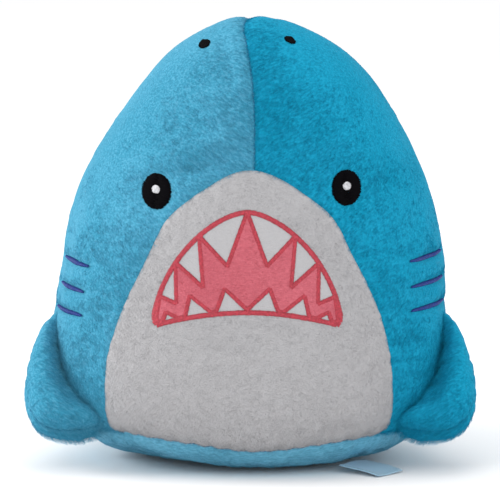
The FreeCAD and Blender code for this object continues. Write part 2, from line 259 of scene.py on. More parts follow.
# Each fibre's colours: painted shade at the root, the cloth's colour, painted light at the tip,
# then lift. The left's paler tip and larger lift belong to the painted lightness that sets the
# sides apart.
FIBRES = {
    "left": pile_fibre("fibre_left", srgb(16, 112, 146), BLUE_LEFT, srgb(116, 186, 210), 0.12,
                       lean=NAP["left"]),
    "right": pile_fibre("fibre_right", srgb(0, 100, 132), BLUE_RIGHT, srgb(40, 158, 192), 0.01,
                        lean=NAP["right"]),
    "base": pile_fibre("fibre_base", srgb(50, 128, 160), BLUE_BASE, srgb(140, 192, 212), 0.1),
    "white": pile_fibre("fibre_white", srgb(167, 166, 168), WHITE, srgb(178, 177, 179), 0.06,
                        0.6, 0.03),
    "pink": pile_fibre("fibre_pink", srgb(164, 72, 86), PINK, srgb(206, 118, 128), 0.08,
                       0.5, 0.16),
}
THREADS = {                 # for each material slot
    "mouth_thread": thread("coral_thread", CORAL, 0.4),
    "black_thread": thread("black_thread", BLACK, 0.05, 0.7),
    "white_thread": thread("white_thread", srgb(192, 192, 196)),
    "navy_thread": thread("navy_thread", NAVY),
    "sewing_thread": thread("sewing_thread", srgb(24, 104, 146), 0.2),
}
SIDES = (("left", -1), ("right", 1))


# ---------------------------------------------------------------- mesh helpers

def points_in(mesh):
    flat = np.empty(len(mesh.vertices) * 3, np.float32)
    mesh.vertices.foreach_get("co", flat)
    return flat.reshape(-1, 3).astype(float)


def node_points(name):
    return points_in(NODES[name].data)


def front_oval(name):
    """A CAD piece's middle and half size, (x, z) each, as seen from the front."""
    low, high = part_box(name)
    low, high = np.array([low.x, low.z]), np.array([high.x, high.z])
    return (low + high) / 2, (high - low) / 2


def tree_of(obj):
    return BVHTree.FromObject(obj, bpy.context.evaluated_depsgraph_get())


def points_of(bm):
    return np.array([v.co for v in bm.verts], float)


def put_points(bm, points):
    for v, p in zip(bm.verts, points):
        v.co = p


def normals_of(bm):
    bm.normal_update()
    return np.array([v.normal for v in bm.verts], float)


def smooth(bm, times, factor):
    for _ in range(times):
        bmesh.ops.smooth_vert(bm, verts=bm.verts, factor=factor, use_axis_x=True,
                              use_axis_y=True, use_axis_z=True)


def soft_noise(points, scale, seed):
    """Smooth noise from -1 to 1 at each point; scale is the size of its features."""
    shift = Vector((seed * 7.3, seed * 3.1, seed * 5.7))
    return np.array([noise.noise(Vector(p) / scale + shift) for p in points])


def placed(name, data):
    obj = bpy.data.objects.new(name, data)
    bpy.context.scene.collection.objects.link(obj)
    return obj


def shaded(name, mesh, materials):
    for material in materials:
        mesh.materials.append(material)
    mesh.polygons.foreach_set("use_smooth", [True] * len(mesh.polygons))
    return placed(name, mesh)


def new_object(name, bm, materials):
    mesh = bpy.data.meshes.new(name)
    bm.to_mesh(mesh)
    bm.free()
    return shaded(name, mesh, materials)


def finish_piece(obj, body, slot, *nodes):
    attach(obj, body)
    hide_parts(*nodes)
    return obj


# ---------------------------------------------------------------- cloth

def puffed(bm, hold, pressure, slack, cap):
    """How far each vertex moves when the fabric is blown up by its stuffing.

    hold is how firmly each vertex is held, 1 on a seam. slack is how much longer the
    fabric is than the form it covers, which makes it buckle beside the seams.
    """
    start = points_of(bm)
    obj = new_object("cloth_trial", bm.copy(), [])
    group = obj.vertex_groups.new(name="hold")
    for index, weight in enumerate(hold):
        group.add([index], float(weight), "REPLACE")
    cloth = obj.modifiers.new("cloth", "CLOTH")
    settings = cloth.settings
    settings.quality = 6
    settings.mass = 0.15
    settings.tension_stiffness = 12
    settings.compression_stiffness = 8
    settings.shear_stiffness = 6
    settings.bending_stiffness = 0.4
    settings.use_pressure = True
    settings.uniform_pressure_force = pressure
    settings.shrink_min = -slack
    settings.vertex_group_mass = "hold"
    settings.pin_stiffness = 1.0
    settings.effector_weights.gravity = 0.0
    cloth.collision_settings.use_self_collision = False
    scene = bpy.context.scene
    for step in range(1, 21):
        scene.frame_set(step)
    result = obj.evaluated_get(bpy.context.evaluated_depsgraph_get()).to_mesh()
    move = points_in(result) - start
    scene.frame_set(1)
    bpy.data.objects.remove(obj)
    length = np.linalg.norm(move, axis=1, keepdims=True)
    return move * np.minimum(1.0, cap / np.maximum(length, 1e-9))


def carried(points, coarse_points, coarse_move):
    """A coarse mesh's movement, read at the points of a finer one."""
    near = KDTree(len(coarse_points))
    for index, point in enumerate(coarse_points):
        near.insert(point, index)
    near.balance()
    move = np.empty_like(points)
    for i, point in enumerate(points):
        found = near.find_n(point, 4)
        weights = np.array([1 / (f[2] + 0.2 * MM) ** 2 for f in found])
        rows = coarse_move[[f[1] for f in found]]
        move[i] = (rows * weights[:, None]).sum(0) / weights.sum()
    return move


# ---------------------------------------------------------------- cutting along seams

def cut_along(bm, field, where, locked):
    """Cuts a triangle mesh where field is zero, only at edges whose middle passes where.

    A vertex near the line slides onto it, unless it is locked, and other edges are split
    there. Vertices on the line join the locked set.
    """
    snap = 0.35
    bm.verts.index_update()
    values = field(points_of(bm))
    middles = np.array([(e.verts[0].co + e.verts[1].co) / 2 for e in bm.edges])
    chosen = where(middles)
    moves = {}
    edges = [e for e, ok in zip(bm.edges, chosen) if ok]
    for edge in edges:
        a, b = edge.verts
        fa, fb = values[a.index], values[b.index]
        if fa * fb >= 0:
            continue
        t = fa / (fa - fb)
        near, other = (a, b) if t < 0.5 else (b, a)
        share = min(t, 1 - t)
        if share < snap and near not in locked:
            move = (other.co - near.co) * share
            if near not in moves or move.length < moves[near].length:
                moves[near] = move
    for vert, move in moves.items():
        vert.co += move
        values[vert.index] = 0.0
    value_of = {v: values[v.index] for v in bm.verts}
    line = dict.fromkeys(moves)
    for edge in edges:
        a, b = edge.verts
        fa, fb = value_of[a], value_of[b]
        if fa * fb < 0:
            _, vert = bmesh.utils.edge_split(edge, a, fa / (fa - fb))
            value_of[vert] = 0.0
            line[vert] = None
    bmesh.ops.connect_verts(bm, verts=list(line))
    bmesh.ops.triangulate(bm, faces=[f for f in bm.faces if len(f.verts) > 3])
    locked.update(line)
    bm.verts.index_update()


def split_panels(bm, label_of_face, count):
    """One bmesh for each panel number that label_of_face gives the faces' middles."""
    middles = np.array([f.calc_center_median() for f in bm.faces])
    labels = label_of_face(middles)
    panels = []
    for number in range(count):
        part = bm.copy()
        part.faces.ensure_lookup_table()
        unwanted = [f for f, label in zip(part.faces, labels) if label != number]
        bmesh.ops.delete(part, geom=unwanted, context="FACES")
        panels.append(part)
    return panels


def open_loops(bm):
    """The vertices round each open edge of a panel, in order."""
    beside = {}
    for edge in bm.edges:
        if edge.is_boundary:
            a, b = edge.verts
            beside.setdefault(a, []).append(b)
            beside.setdefault(b, []).append(a)
    loops, seen = [], set()
    for start in beside:
        vert, loop = start, []
        while vert is not None and vert not in seen:
            seen.add(vert)
            loop.append(vert)
            vert = next((v for v in beside[vert] if v not in seen), None)
        if len(loop) > 3:
            loops.append(loop)
    return loops


def seam_runs(bm, on_seam):
    """A panel's open edge as rows of points, only where on_seam picks them."""
    runs = []
    for loop in open_loops(bm):
        points = np.array([v.co for v in loop])
        kept = on_seam(points)
        if kept.all():
            runs.append(np.vstack([points, points[:1]]))
            continue
        start = int(np.argmin(kept))
        run = []
        for index in np.roll(np.arange(len(loop)), -start):
            if kept[index]:
                run.append(points[index])
            elif run:
                runs.append(np.array(run))
                run = []
        if run:
            runs.append(np.array(run))
    return [run for run in runs if len(run) > 4]


BODY_ROLL = 2.2 * MM        # how far a panel's edge turns in
LIMB_ROLL = 1.4 * MM


def roll_edges(bm, depth):
    """Turns the open edges of a panel inwards, as the seam allowance does."""
    bm.normal_update()
    rim = [e for e in bm.edges if e.is_boundary]
    normals = {v: v.normal.copy() for e in rim for v in e.verts}
    made = bmesh.ops.extrude_edge_only(bm, edges=rim)["geom"]
    new = [g for g in made if isinstance(g, bmesh.types.BMVert)]
    for vert in new:
        old = next(e.other_vert(vert) for e in vert.link_edges if e.other_vert(vert) in normals)
        vert.co -= normals[old] * depth
    bmesh.ops.recalc_face_normals(bm, faces=bm.faces)


# ---------------------------------------------------------------- pile

STAND = 0.6                 # how much of the pile's length stands up from the cloth


def grow_pile(obj, fibre, per_mm2, length, comb, seed, clump=0.45, children=12, curl=0.22):
    """Hair over a fabric piece. comb is where the fibres lean, as a share of length."""
    obj.data.materials.append(fibre)
    area = sum(p.area for p in obj.data.polygons) / MM**2
    modifier = obj.modifiers.new("pile", "PARTICLE_SYSTEM")
    system = modifier.particle_system
    system.seed = seed
    if "pile" in obj.vertex_groups:
        system.vertex_group_density = "pile"
        system.vertex_group_length = "pile_length"
    speed = length / 4      # a hair is as long as it travels in four frames
    for key, value in {
        "type": "HAIR", "use_advanced_hair": True, "count": int(area * per_mm2 / children),
        "hair_step": 3, "render_step": 2, "display_step": 2,
        "emit_from": "FACE", "use_emit_random": True, "use_even_distribution": True,
        "normal_factor": STAND * speed, "object_align_factor": [c * speed for c in comb],
        "factor_random": 0.3 * speed, "length_random": 0.3,
        "child_type": "INTERPOLATED", "child_percent": 1, "rendered_child_count": children,
        "child_length": 1.0, "clump_factor": clump, "clump_shape": 0.2,
        "roughness_1": 0.2 * length, "roughness_1_size": 4 * length,
        "roughness_2": curl * length, "roughness_2_size": 2 * length,
        "roughness_endpoint": 0.3 * length,
        "root_radius": 0.07, "tip_radius": 0.025, "radius_scale": MM,
        "material": len(obj.data.materials),
    }.items():
        setattr(system.settings, key, value)


# ---------------------------------------------------------------- the body's lines

def bell(value, middle, width):
    """1 at the middle, fading over the width; both in millimetres."""
    return np.exp(-(((value - middle * MM) / (width * MM)) ** 2))


def belly_radius():
    """The belly panel's outline: its distance from a middle point at each angle."""
    points = node_points("belly_seam_thread")
    spread = 1 + 0.055 * bell(points[:, 2], 24, 20)      # the lower corners, pulled out
    x, z = points[:, 0] * spread, points[:, 2] - BELLY_MIDDLE
    angle = np.arctan2(z, x)
    radius = np.hypot(x, z)
    corner = angle[(x > 0) & (points[:, 2] < SEAM_Z + 2 * MM)].mean()
    steps = np.linspace(-math.pi, math.pi, 145)
    above = (steps > corner) & (steps < math.pi - corner) | (steps < -math.pi - corner)
    known, found = [], []
    for step in steps[above]:
        gap = np.abs((angle - step + math.pi) % (2 * math.pi) - math.pi)
        near = gap < 0.02
        if near.sum():
            known.append(step)
            found.append(radius[near].mean())
    upper = np.interp(steps, known, found, period=2 * math.pi)
    for _ in range(3):
        inner = upper[:-1]
        inner = (np.roll(inner, 1) + 2 * inner + np.roll(inner, -1)) / 4
        upper = np.append(inner, inner[0])
    side = radius[np.abs(angle - corner) < 0.05].mean()
    below = side * np.sin(-corner) / np.maximum(0.05, -np.sin(steps)) + 10 * MM
    return steps, np.where(above, upper, np.maximum(below, side))


BELLY_MIDDLE = 75 * MM
BELLY_CORNER = 14 * MM      # radius of the panel's lower corners
SEAM_Z = node_points("base_seam_thread")[:, 2].mean()
BELLY_STEPS, BELLY_RADII = belly_radius()


def base_field(p):
    """Height above the base seam, which sags at the front and wanders a little."""
    around = np.arctan2(p[:, 1], p[:, 0])
    front = np.maximum(0.0, -np.sin(around))
    rise = 4.0 * (1 - 1.85 * front**6) + 0.8 * np.sin(3 * around + 0.7)
    return p[:, 2] - SEAM_Z - rise * MM


def belly_field(p):
    """Distance outside the belly panel's outline, on the front."""
    x, z = p[:, 0], p[:, 2] - BELLY_MIDDLE
    angle = np.arctan2(z, x)
    radius = np.interp(angle, BELLY_STEPS, BELLY_RADII)
    slope = (np.interp(angle + 0.05, BELLY_STEPS, BELLY_RADII) - radius) / 0.05
    outline = (np.hypot(x, z) - radius) / np.sqrt(1 + (slope / radius) ** 2)
    beyond = np.maximum(np.abs(x) - 64 * MM, 0)
    rounded = BELLY_CORNER - np.sqrt(np.maximum(BELLY_CORNER**2 - beyond**2, 0))
    steep = 4 * np.maximum(beyond - BELLY_CORNER, 0)
    corner = rounded + steep - 1.5 * MM - base_field(p)
    return np.where(beyond > 0, np.maximum(outline, corner), outline)


def centre_field(p):
    """Distance to the right of the centre seam, which isn't quite straight."""
    up = np.clip((p[:, 2] - 165 * MM) / (80 * MM), 0, 1)
    front = np.clip(-p[:, 1] / (40 * MM), 0, 1)
    return p[:, 0] - front * (2.2 - 10.5 * up**3) * MM


def is_front(p):
    return p[:, 1] < -20 * MM


def in_belly(p):
    return is_front(p) & (belly_field(p) < 0)


# ---------------------------------------------------------------- the body

def dome(level):
    """A closed triangle mesh over the whole body: the stuffing's form plus the fabric."""
    bm = bmesh.new()
    bmesh.ops.create_icosphere(bm, subdivisions=level, radius=1.0)
    low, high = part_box("body_stuffing")
    middle = Vector((0, (low.y + high.y) / 2 - 8 * MM, 0.4 * high.z))
    form = tree_of(NODES["body_stuffing"])
    for v in bm.verts:
        hit = form.ray_cast(middle + v.co * 0.5, -v.co)
        v.co = hit[0]
    smooth(bm, 3, 0.4)
    put_points(bm, points_of(bm) + normals_of(bm) * FABRIC)
    return bm


def valley(distance, depth, width):
    return -depth * np.exp(-((distance / width) ** 2))


def pucker(distance, depth, reach, wave):
    """Small ripples beside a seam, where one cloth is a little longer than the other."""
    return depth * np.exp(-((distance / reach) ** 2)) * np.sin(wave)


def seam_distances(p):
    """How far each point is from the belly, centre and base seams, where they run."""
    belly = np.where(is_front(p), np.abs(belly_field(p)), 1.0)
    centre = np.where(in_belly(p) | (base_field(p) < 0), 1.0, np.abs(centre_field(p)))
    return belly, centre, np.abs(base_field(p))


BELLY_PULL = (0.3 * MM, 1.8 * MM)       # how deep and how wide a seam pulls the fabric in
BELLY_TURN = (0.5 * MM, 9 * MM)
CENTRE_PULL = (0.9 * MM, 2.6 * MM)
BASE_PULL = (2.0 * MM, 3.4 * MM)
GILL_PULL = (2.4 * MM, 2.6 * MM)
LIMB_PULL = (1.6 * MM, 2.6 * MM)


def seam_relief(p):
    """How far the seams and the embroidery pull the fabric in, at each point."""
    belly, centre, base = seam_distances(p)
    relief = valley(belly, *BELLY_PULL) + valley(centre, *CENTRE_PULL)
    relief += valley(base, *BASE_PULL) + valley(belly, *BELLY_TURN)
    along = p[:, 2] + 0.6 * np.abs(p[:, 1])
    around = np.arctan2(p[:, 1], p[:, 0])
    angle = np.arctan2(p[:, 2] - BELLY_MIDDLE, p[:, 0])
    relief += pucker(centre, 0.35 * MM, 6 * MM, along / (1.6 * MM))
    relief += pucker(base, 0.4 * MM, 8 * MM, 52 * around)
    relief += pucker(belly, 0.15 * MM, 6 * MM, 44 * angle)
    return relief + gill_relief(p) + eye_relief(p) + folds(p)


def crease(p, start, end, depth, width):
    """A soft hollow between two places, each (x, z), on the front."""
    start, end = np.array(start) * MM, np.array(end) * MM
    run = end - start
    across = p[:, [0, 2]] - start
    share = np.clip(across @ run / (run @ run), 0, 1)
    distance = np.linalg.norm(across - share[:, None] * run, axis=1)
    fade = np.sin(math.pi * np.clip(0.12 + 0.76 * share, 0, 1))
    return np.where(is_front(p), fade * valley(distance, depth * MM, width * MM), 0.0)


def folds(p):
    """The places where the fabric is slack or pulled: beside the nose and the flippers."""
    relief = crease(p, (-10, 176), (-40, 166), 3.0, 5.5)
    relief -= crease(p, (-8, 185), (-34, 183), 1.7, 6.0)
    relief += crease(p, (84, 150), (66, 166), 1.2, 5.0)
    for side in (-1, 1):
        relief += crease(p, (side * 84, 82), (side * 88, 48), 1.6, 5.0)
        relief -= crease(p, (side * 96, 80), (side * 97, 52), 0.8, 4.0)
    return relief


def gill_lines():
    """Front end, rear end and height of every gill line, read from the CAD."""
    low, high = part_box("right_gill_stitching")
    heights = node_points("right_gill_stitching")[:, 2]
    spread = (high.z - low.z) / 2
    thirds = [heights[np.abs(heights - z) < spread / 3].mean()
              for z in (low.z, (low.z + high.z) / 2, high.z)]
    return low.y, high.y, thirds


GILL_FRONT, GILL_REAR, GILL_HEIGHTS = gill_lines()
GILL_DROP = 3.5 * MM        # the left cheek's gills are sewn a little lower
EYE, EYE_SIZE = front_oval("right_eye_stitching")
NOSTRIL, NOSTRIL_SIZE = front_oval("right_nostril_stitching")


def eye_middle(side):
    """Each eye's middle from the front; side is -1 for left. The left one is a bit low."""
    return EYE * (side * 0.98, 1) + np.array([1.3, side]) * MM


def nostril_middle(side):
    """Each nostril's middle from the front; the left one is a bit low."""
    return NOSTRIL * (side, 1) + np.array([-1.0, 1.2 * (side - 1)]) * MM


def gill_relief(p):
    """The gill stitches pull grooves round the cheeks, and the fabric swells between."""
    middle = (GILL_FRONT + GILL_REAR) / 2 + 8 * MM
    half = (GILL_REAR - GILL_FRONT) / 2 + 8 * MM
    reach = np.clip(1 - ((p[:, 1] - middle) / half) ** 2, 0, 1)
    relief = np.zeros(len(p))
    for height, _ in gill_distances(p):
        relief += valley(height, *GILL_PULL)
    swell = bell(p[:, 2], np.mean(GILL_HEIGHTS) / MM, 19)
    return reach * (relief - 0.5 * MM * swell)


def eye_distance(p):
    """How many eye radii each point is from the nearer eye's middle."""
    distance = np.full(len(p), 9.0)
    for side in (-1, 1):
        x, z = eye_middle(side)
        from_eye = np.hypot((p[:, 0] - x) / EYE_SIZE[0], (p[:, 2] - z) / EYE_SIZE[1])
        distance = np.minimum(distance, from_eye)
    return np.where(is_front(p), distance, 9.0)


def eye_relief(p):
    return valley(np.maximum(eye_distance(p) - 0.7, 0), 1.0 * MM, 0.7)


def slumped(p):
    """The body as it sits: leaning a little, one brow flatter, its base sagging."""
    x, y, z = p.T.copy()
    lean = np.clip((z - 110 * MM) / (137 * MM), 0, 1)
    sides = np.clip(np.abs(x) / (95 * MM), 0, 1)
    raised = np.clip((z - 70 * MM) / (40 * MM), 0, 1)
    left = np.clip(-x / (36 * MM), 0, 1)
    x += 3.4 * MM * lean**2 + 2.2 * MM * sides**2 * raised
    x += 4.4 * MM * left * bell(z, 205, 32)
    x *= 1 - 0.09 * bell(z, 243, 9)
    front_left = np.clip(-x / (62 * MM), 0, 1) * np.clip(-y / (50 * MM), 0, 1)
    z += 5.5 * MM * front_left * np.clip(1 - z / (30 * MM), 0, 1)
    return np.column_stack([x, y, np.maximum(z, 0.3 * MM)])


def body_puff():
    """The points of a coarse body, and how far its stuffing moves them."""
    bm = dome(COARSE_SPHERE)
    points = points_of(bm)
    belly = np.where(is_front(points), np.abs(belly_field(points)), 1.0)
    seams = np.minimum(np.abs(base_field(points)), belly)
    seams = np.minimum(seams, np.abs(centre_field(points)))
    hold = np.clip(1 - seams / (9 * MM), 0.02, 0.9)
    hold = np.where(points[:, 2] < 2 * MM, 1.0, hold)
    move = 0.55 * puffed(bm, hold, pressure=4.0, slack=0.03, cap=3.0 * MM)
    bm.free()
    return points, move


def body_surface(points, normals):
    """Where the body's points end up: pulled in by the seams, puffed out and slumped."""
    relief = seam_relief(points) + 0.7 * MM * soft_noise(points, 38 * MM, 1)
    relief += 0.25 * MM * soft_noise(points, 11 * MM, 2)
    on_table = np.clip(points[:, 2] / (6 * MM), 0, 1)
    shaped = points + normals * (relief * on_table)[:, None]
    shaped += carried(points, *body_puff()) * on_table[:, None]
    return slumped(shaped)


def panel_of(p):
    """The number of each point's panel: left side, right side, belly, base."""
    side = np.where(centre_field(p) < 0, 0, 1)
    side = np.where(in_belly(p), 2, side)
    return np.where(base_field(p) < 0, 3, side)


def shape_body():
    """The body's four panels, and the rows of points along each of its seams."""
    bm = dome(FINE_SPHERE)
    locked = set()
    cut_along(bm, base_field, lambda p: p[:, 2] > 5 * MM, locked)
    cut_along(bm, belly_field, lambda p: is_front(p) & (base_field(p) > -MM), locked)
    cut_along(bm, centre_field, lambda p: ~in_belly(p) & (base_field(p) > 0), locked)
    points = points_of(bm)
    shaped = body_surface(points, normals_of(bm))
    parts = split_panels(bm, panel_of, 4)
    close = 0.02 * MM
    flat_runs = {
        "centre": seam_runs(parts[0], lambda p: (np.abs(centre_field(p)) < close)),
        "belly": seam_runs(parts[2], lambda p: base_field(p) > close),
        "base": seam_runs(parts[3], lambda p: p[:, 2] > 5 * MM),
    }
    table = {tuple(np.round(a, 7)): b for a, b in zip(points, shaped)}
    runs = {}
    for name, rows in flat_runs.items():
        runs[name] = [np.array([table[tuple(np.round(q, 7))] for q in row]) for row in rows]
    for part in parts:
        for v in part.verts:
            v.co = table[tuple(np.round(v.co, 7))]
    bm.free()
    return parts, runs


def pile_groups(obj, bare, short):
    """Marks where the pile grows, and how long: not at the points that bare picks, and
    shorter by the share that short gives."""
    density = obj.vertex_groups.new(name="pile")
    length = obj.vertex_groups.new(name="pile_length")
    points = points_in(obj.data)
    for index, (is_bare, share) in enumerate(zip(bare(points), short(points))):
        density.add([index], 0.0 if is_bare else 1.0, "REPLACE")
        length.add([index], 1.0 - float(share), "REPLACE")


def make_body():
    (left, right, belly, base), runs = shape_body()
    made = {}
    plan = [
        ("left_side", left, "left", "blue_plush", "left_eye_backing"),
        ("right_side", right, "right", "blue_plush", "right_eye_backing"),
        ("belly", belly, "white", "white_plush", "mouth_backing"),
        ("base", base, "base", "blue_plush", "body_stuffing"),
    ]
    for name, part, look, slot, hidden in plan:
        roll_edges(part, BODY_ROLL)
        obj = new_object(name + "_panel_fabric", part, [CLOTHS[look]])
        made[name] = finish_piece(obj, "body", slot, name + "_panel", hidden)
    return made, runs


# ---------------------------------------------------------------- flippers, fin and tail

def seam_plane(node):
    """A point in and the normal of the plane that a flat seam's thread lies in."""
    points = node_points(node)
    middle = points.mean(0)
    _, _, rows = np.linalg.svd(points - middle, full_matrices=False)
    return middle, rows[2]


def stuffed_form(name, node):
    """The stuffing's form grown by the fabric's thickness, as an even mesh."""
    grown = bmesh.new()
    grown.from_mesh(NODES[node].data)
    bmesh.ops.remove_doubles(grown, verts=grown.verts, dist=0.01 * MM)
    put_points(grown, points_of(grown) + normals_of(grown) * 1.2 * MM)
    obj = new_object(name + "_form", grown, [])
    remesh = obj.modifiers.new("even", "REMESH")
    remesh.mode = "VOXEL"
    remesh.voxel_size = 2.6 * MM
    even = obj.evaluated_get(bpy.context.evaluated_depsgraph_get())
    bm = bmesh.new()
    bm.from_mesh(even.to_mesh())
    bpy.data.objects.remove(obj)
    bmesh.ops.triangulate(bm, faces=bm.faces)
    smooth(bm, 4, 0.5)
    return bm


TUCK = 5.4 * MM             # how far a root goes into the body's seam
INSET = {                   # how far the whole piece is pulled in with it
    "left_flipper": 3.0 * MM,
    "right_flipper": 1.5 * MM,
    "back_fin": 1.2 * MM,
    "tail": 1.0 * MM,
}


def make_stuffed(prefix, looks, names):
    """The two fabric panels of a stuffed piece, sewn together in its seam's plane. The
    plane's normal is turned away from the first of the two."""
    middle, normal = seam_plane(prefix + "_seam_thread")
    if (node_points(names[0]).mean(0) - middle) @ normal > 0:
        normal = -normal
    root = root_direction(prefix, middle)
    bm = stuffed_form(prefix, prefix + "_stuffing")
    points = shape_stuffed(bm, prefix, middle, normal, root)
    made = []
    parts = split_panels(bm, lambda p: ((p - middle) @ normal > 0).astype(int), 2)
    stitches = []
    for run in seam_runs(parts[0], lambda p: p[:, 2] > MM):
        stitches += seam_stitches(run, middle, 0.1 * MM)
    sewn = stitch_mesh(prefix + "_seam_stitches", stitches, THREADS["sewing_thread"], *SEWN)
    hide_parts(prefix + "_seam_thread")
    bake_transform(sewn)
    for part, look, node in zip(parts, looks, names):
        roll_edges(part, LIMB_ROLL)
        obj = new_object(node + "_fabric", part, [CLOTHS[look]])
        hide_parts(node)
        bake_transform(obj)
        made.append((obj, look))
    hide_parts(prefix + "_stuffing")
    bm.free()
    return made


def shape_stuffed(bm, prefix, middle, normal, root):
    """Puffs a stuffed piece, cuts it along its seam and tucks in its root. It gives the
    points as they were before the seam pulled them."""
    def field(p):
        return (p - middle) @ normal

    points = points_of(bm)
    seam = np.abs(field(points))
    depth = (points - middle) @ root
    at_root = np.clip(1 - (depth - depth.min()) / (9 * MM), 0, 1)
    hold = np.clip(np.maximum(np.exp(-((seam / (3 * MM)) ** 2)), at_root), 0.02, 1)
    move = puffed(bm, hold, pressure=5.0, slack=0.05, cap=2.5 * MM)
    put_points(bm, points + 0.6 * move)
    cut_along(bm, field, lambda p: np.ones(len(p), bool), set())
    points = points_of(bm)
    normals = normals_of(bm)
    seam = np.abs(field(points))
    along = (points - middle) @ np.cross(normal, root)
    relief = 0.7 * MM + valley(seam, *LIMB_PULL)
    relief += pucker(seam, 0.3 * MM, 6 * MM, along / (1.5 * MM))
    relief += 0.5 * MM * soft_noise(points, 16 * MM, 3)
    shaped = points + normals * relief[:, None]
    depth = (shaped - middle) @ root
    tucked = np.clip(1 - (depth - depth.min()) / (14 * MM), 0, 1)
    shaped += (0.6 * tucked * field(shaped))[:, None] * normal
    shaped -= (TUCK * tucked + INSET[prefix])[:, None] * root
    shaped[:, 2] = np.maximum(shaped[:, 2], 0.6 * MM)
    put_points(bm, shaped)
    return points


def root_direction(prefix, middle):
    """The way a sewn-on piece points, straight out from the body's side or back."""
    if "flipper" in prefix:
        return np.array([math.copysign(0.95, middle[0]), -0.31, 0.0])
    if prefix == "tail":
        return np.array([0.0, 1.0, 0.0])
    return np.array([0.0, 0.87, 0.49])


def make_sewn_on():
    made = []
    for side in ("left", "right"):
        name = side + "_flipper"
        panels = (name + "_front_panel", name + "_rear_panel")
        made += make_stuffed(name, (side, side), panels)
    for name in ("back_fin", "tail"):
        panels = (name + "_left_panel", name + "_right_panel")
        made += make_stuffed(name, ("left", "right"), panels)
    return made


# ---------------------------------------------------------------- stitches

SEWN = (0.2 * MM, 0.2 * MM)             # each thread's radius, and how high a stitch arches
MOUTH_SATIN = (0.27 * MM, 0.55 * MM)
EYE_SATIN = (0.26 * MM, 0.7 * MM)
SHINE_SATIN = (0.25 * MM, 0.5 * MM)
NOSTRIL_SATIN = (0.26 * MM, 0.6 * MM)
GILL_SATIN = (0.3 * MM, 1.1 * MM)


class Surface:
    """The finished fabric of some pieces, to lay stitches on."""

    def __init__(self, *objects):
        bpy.context.view_layer.update()
        self.trees = [tree_of(o) for o in objects]

    def hit(self, start, direction):
        best = None
        for tree in self.trees:
            place, normal, _, distance = tree.ray_cast(Vector(start), Vector(direction))
            if place is not None and (best is None or distance < best[2]):
                best = (np.array(place), np.array(normal), distance)
        if best is None:
            raise ValueError("a stitch misses the fabric")
        place, normal, _ = best
        return place, -normal if normal @ np.array(direction) > 0 else normal

    def front(self, x, z):
        return self.hit((x, -1, z), (0, 1, 0))

    def mouth(self, x, z):
        return self.front(x + MOUTH_SHIFT, z)

    def side(self, y, z, sign):
        return self.hit((sign, y, z), (-sign, 0, 0))


def stitch_mesh(name, stitches, material, radius, rise):
    """One small arched tube for each stitch: (start, end, up) each."""
    starts = np.array([s[0] for s in stitches])
    ends = np.array([s[1] for s in stitches])
    ups = np.array([s[2] for s in stitches])
    along = ends - starts
    along /= np.linalg.norm(along, axis=1, keepdims=True)
    side = np.cross(along, ups)
    side /= np.linalg.norm(side, axis=1, keepdims=True)
    up = np.cross(side, along)
    stations, ring = 6, 6
    shares = np.linspace(0, 1, stations)
    angles = np.linspace(0, 2 * math.pi, ring, endpoint=False)
    height = rise * np.sin(math.pi * np.clip(shares, 0.04, 0.96)) ** 0.6
    thick = radius * np.array([0.55, 0.95, 1, 1, 0.95, 0.55])
    centre = (starts[:, None] + (ends - starts)[:, None] * shares[None, :, None]
              + up[:, None] * height[None, :, None])
    around = (side[:, None, None] * np.cos(angles)[None, None, :, None]
              + up[:, None, None] * np.sin(angles)[None, None, :, None])
    verts = centre[:, :, None] + around * thick[None, :, None, None]
    one = []
    for i in range(stations - 1):
        for j in range(ring):
            k = (j + 1) % ring
            one.append((i * ring + j, i * ring + k, (i + 1) * ring + k, (i + 1) * ring + j))
    per = stations * ring
    faces = (np.array(one)[None] + np.arange(len(stitches))[:, None, None] * per)
    mesh = bpy.data.meshes.new(name)
    mesh.from_pydata(verts.reshape(-1, 3).tolist(), [], faces.reshape(-1, 4).tolist())
    mesh.update()
    return shaded(name, mesh, [material])


def sew(name, stitches, slot, satin, node):
    """Adds a piece of thread work to the body."""
    finish_piece(stitch_mesh(name, stitches, THREADS[slot], *satin), "body", slot, node)


def seam_stitches(run, middle, height):
    """Running stitches in a seam, each slightly askew, this high over the cloth's edges."""
    spacing = 2.6 * MM
    made = []
    for index, (point, along) in enumerate(zip(*evenly(run, spacing))):
        up = point - middle
        up /= np.linalg.norm(up)
        side = np.cross(along, up) * (0.3 * MM if index % 2 else -0.3 * MM)
        reach = along * 0.38 * spacing + side
        made.append((point - reach + up * height, point + reach + up * height, up))
    return made


def evenly(path, spacing):
    """Points at an even spacing along a line of corners, with the way it runs."""
    path = np.asarray(path, float)
    steps = np.diff(path, axis=0)
    lengths = np.linalg.norm(steps, axis=1)
    total = lengths.sum()
    reach = np.concatenate([[0], np.cumsum(lengths)])
    places = np.arange(spacing / 2, total, spacing)
    index = np.clip(np.searchsorted(reach, places) - 1, 0, len(steps) - 1)
    share = (places - reach[index]) / lengths[index]
    runs = steps[index] / lengths[index][:, None]
    return path[index] + steps[index] * share[:, None], runs


def satin_line(place, path, width, spacing, rng, slant=0.25, taper=None):
    """Stitches side by side across a line. place(u, v) gives a fabric point and normal."""
    made = []
    points, runs = evenly(path, spacing)
    for i, (point, run) in enumerate(zip(points, runs)):
        across = np.array([-run[1], run[0]]) + slant * run
        wide = width * (taper(i / len(points)) if taper else 1.0)
        half = across * (wide / 2 + rng.uniform(-0.09, 0.16) * MM)
        start, up_start = place(*(point - half))
        end, up_end = place(*(point + half))
        made.append((start, end, up_start + up_end))
    return made


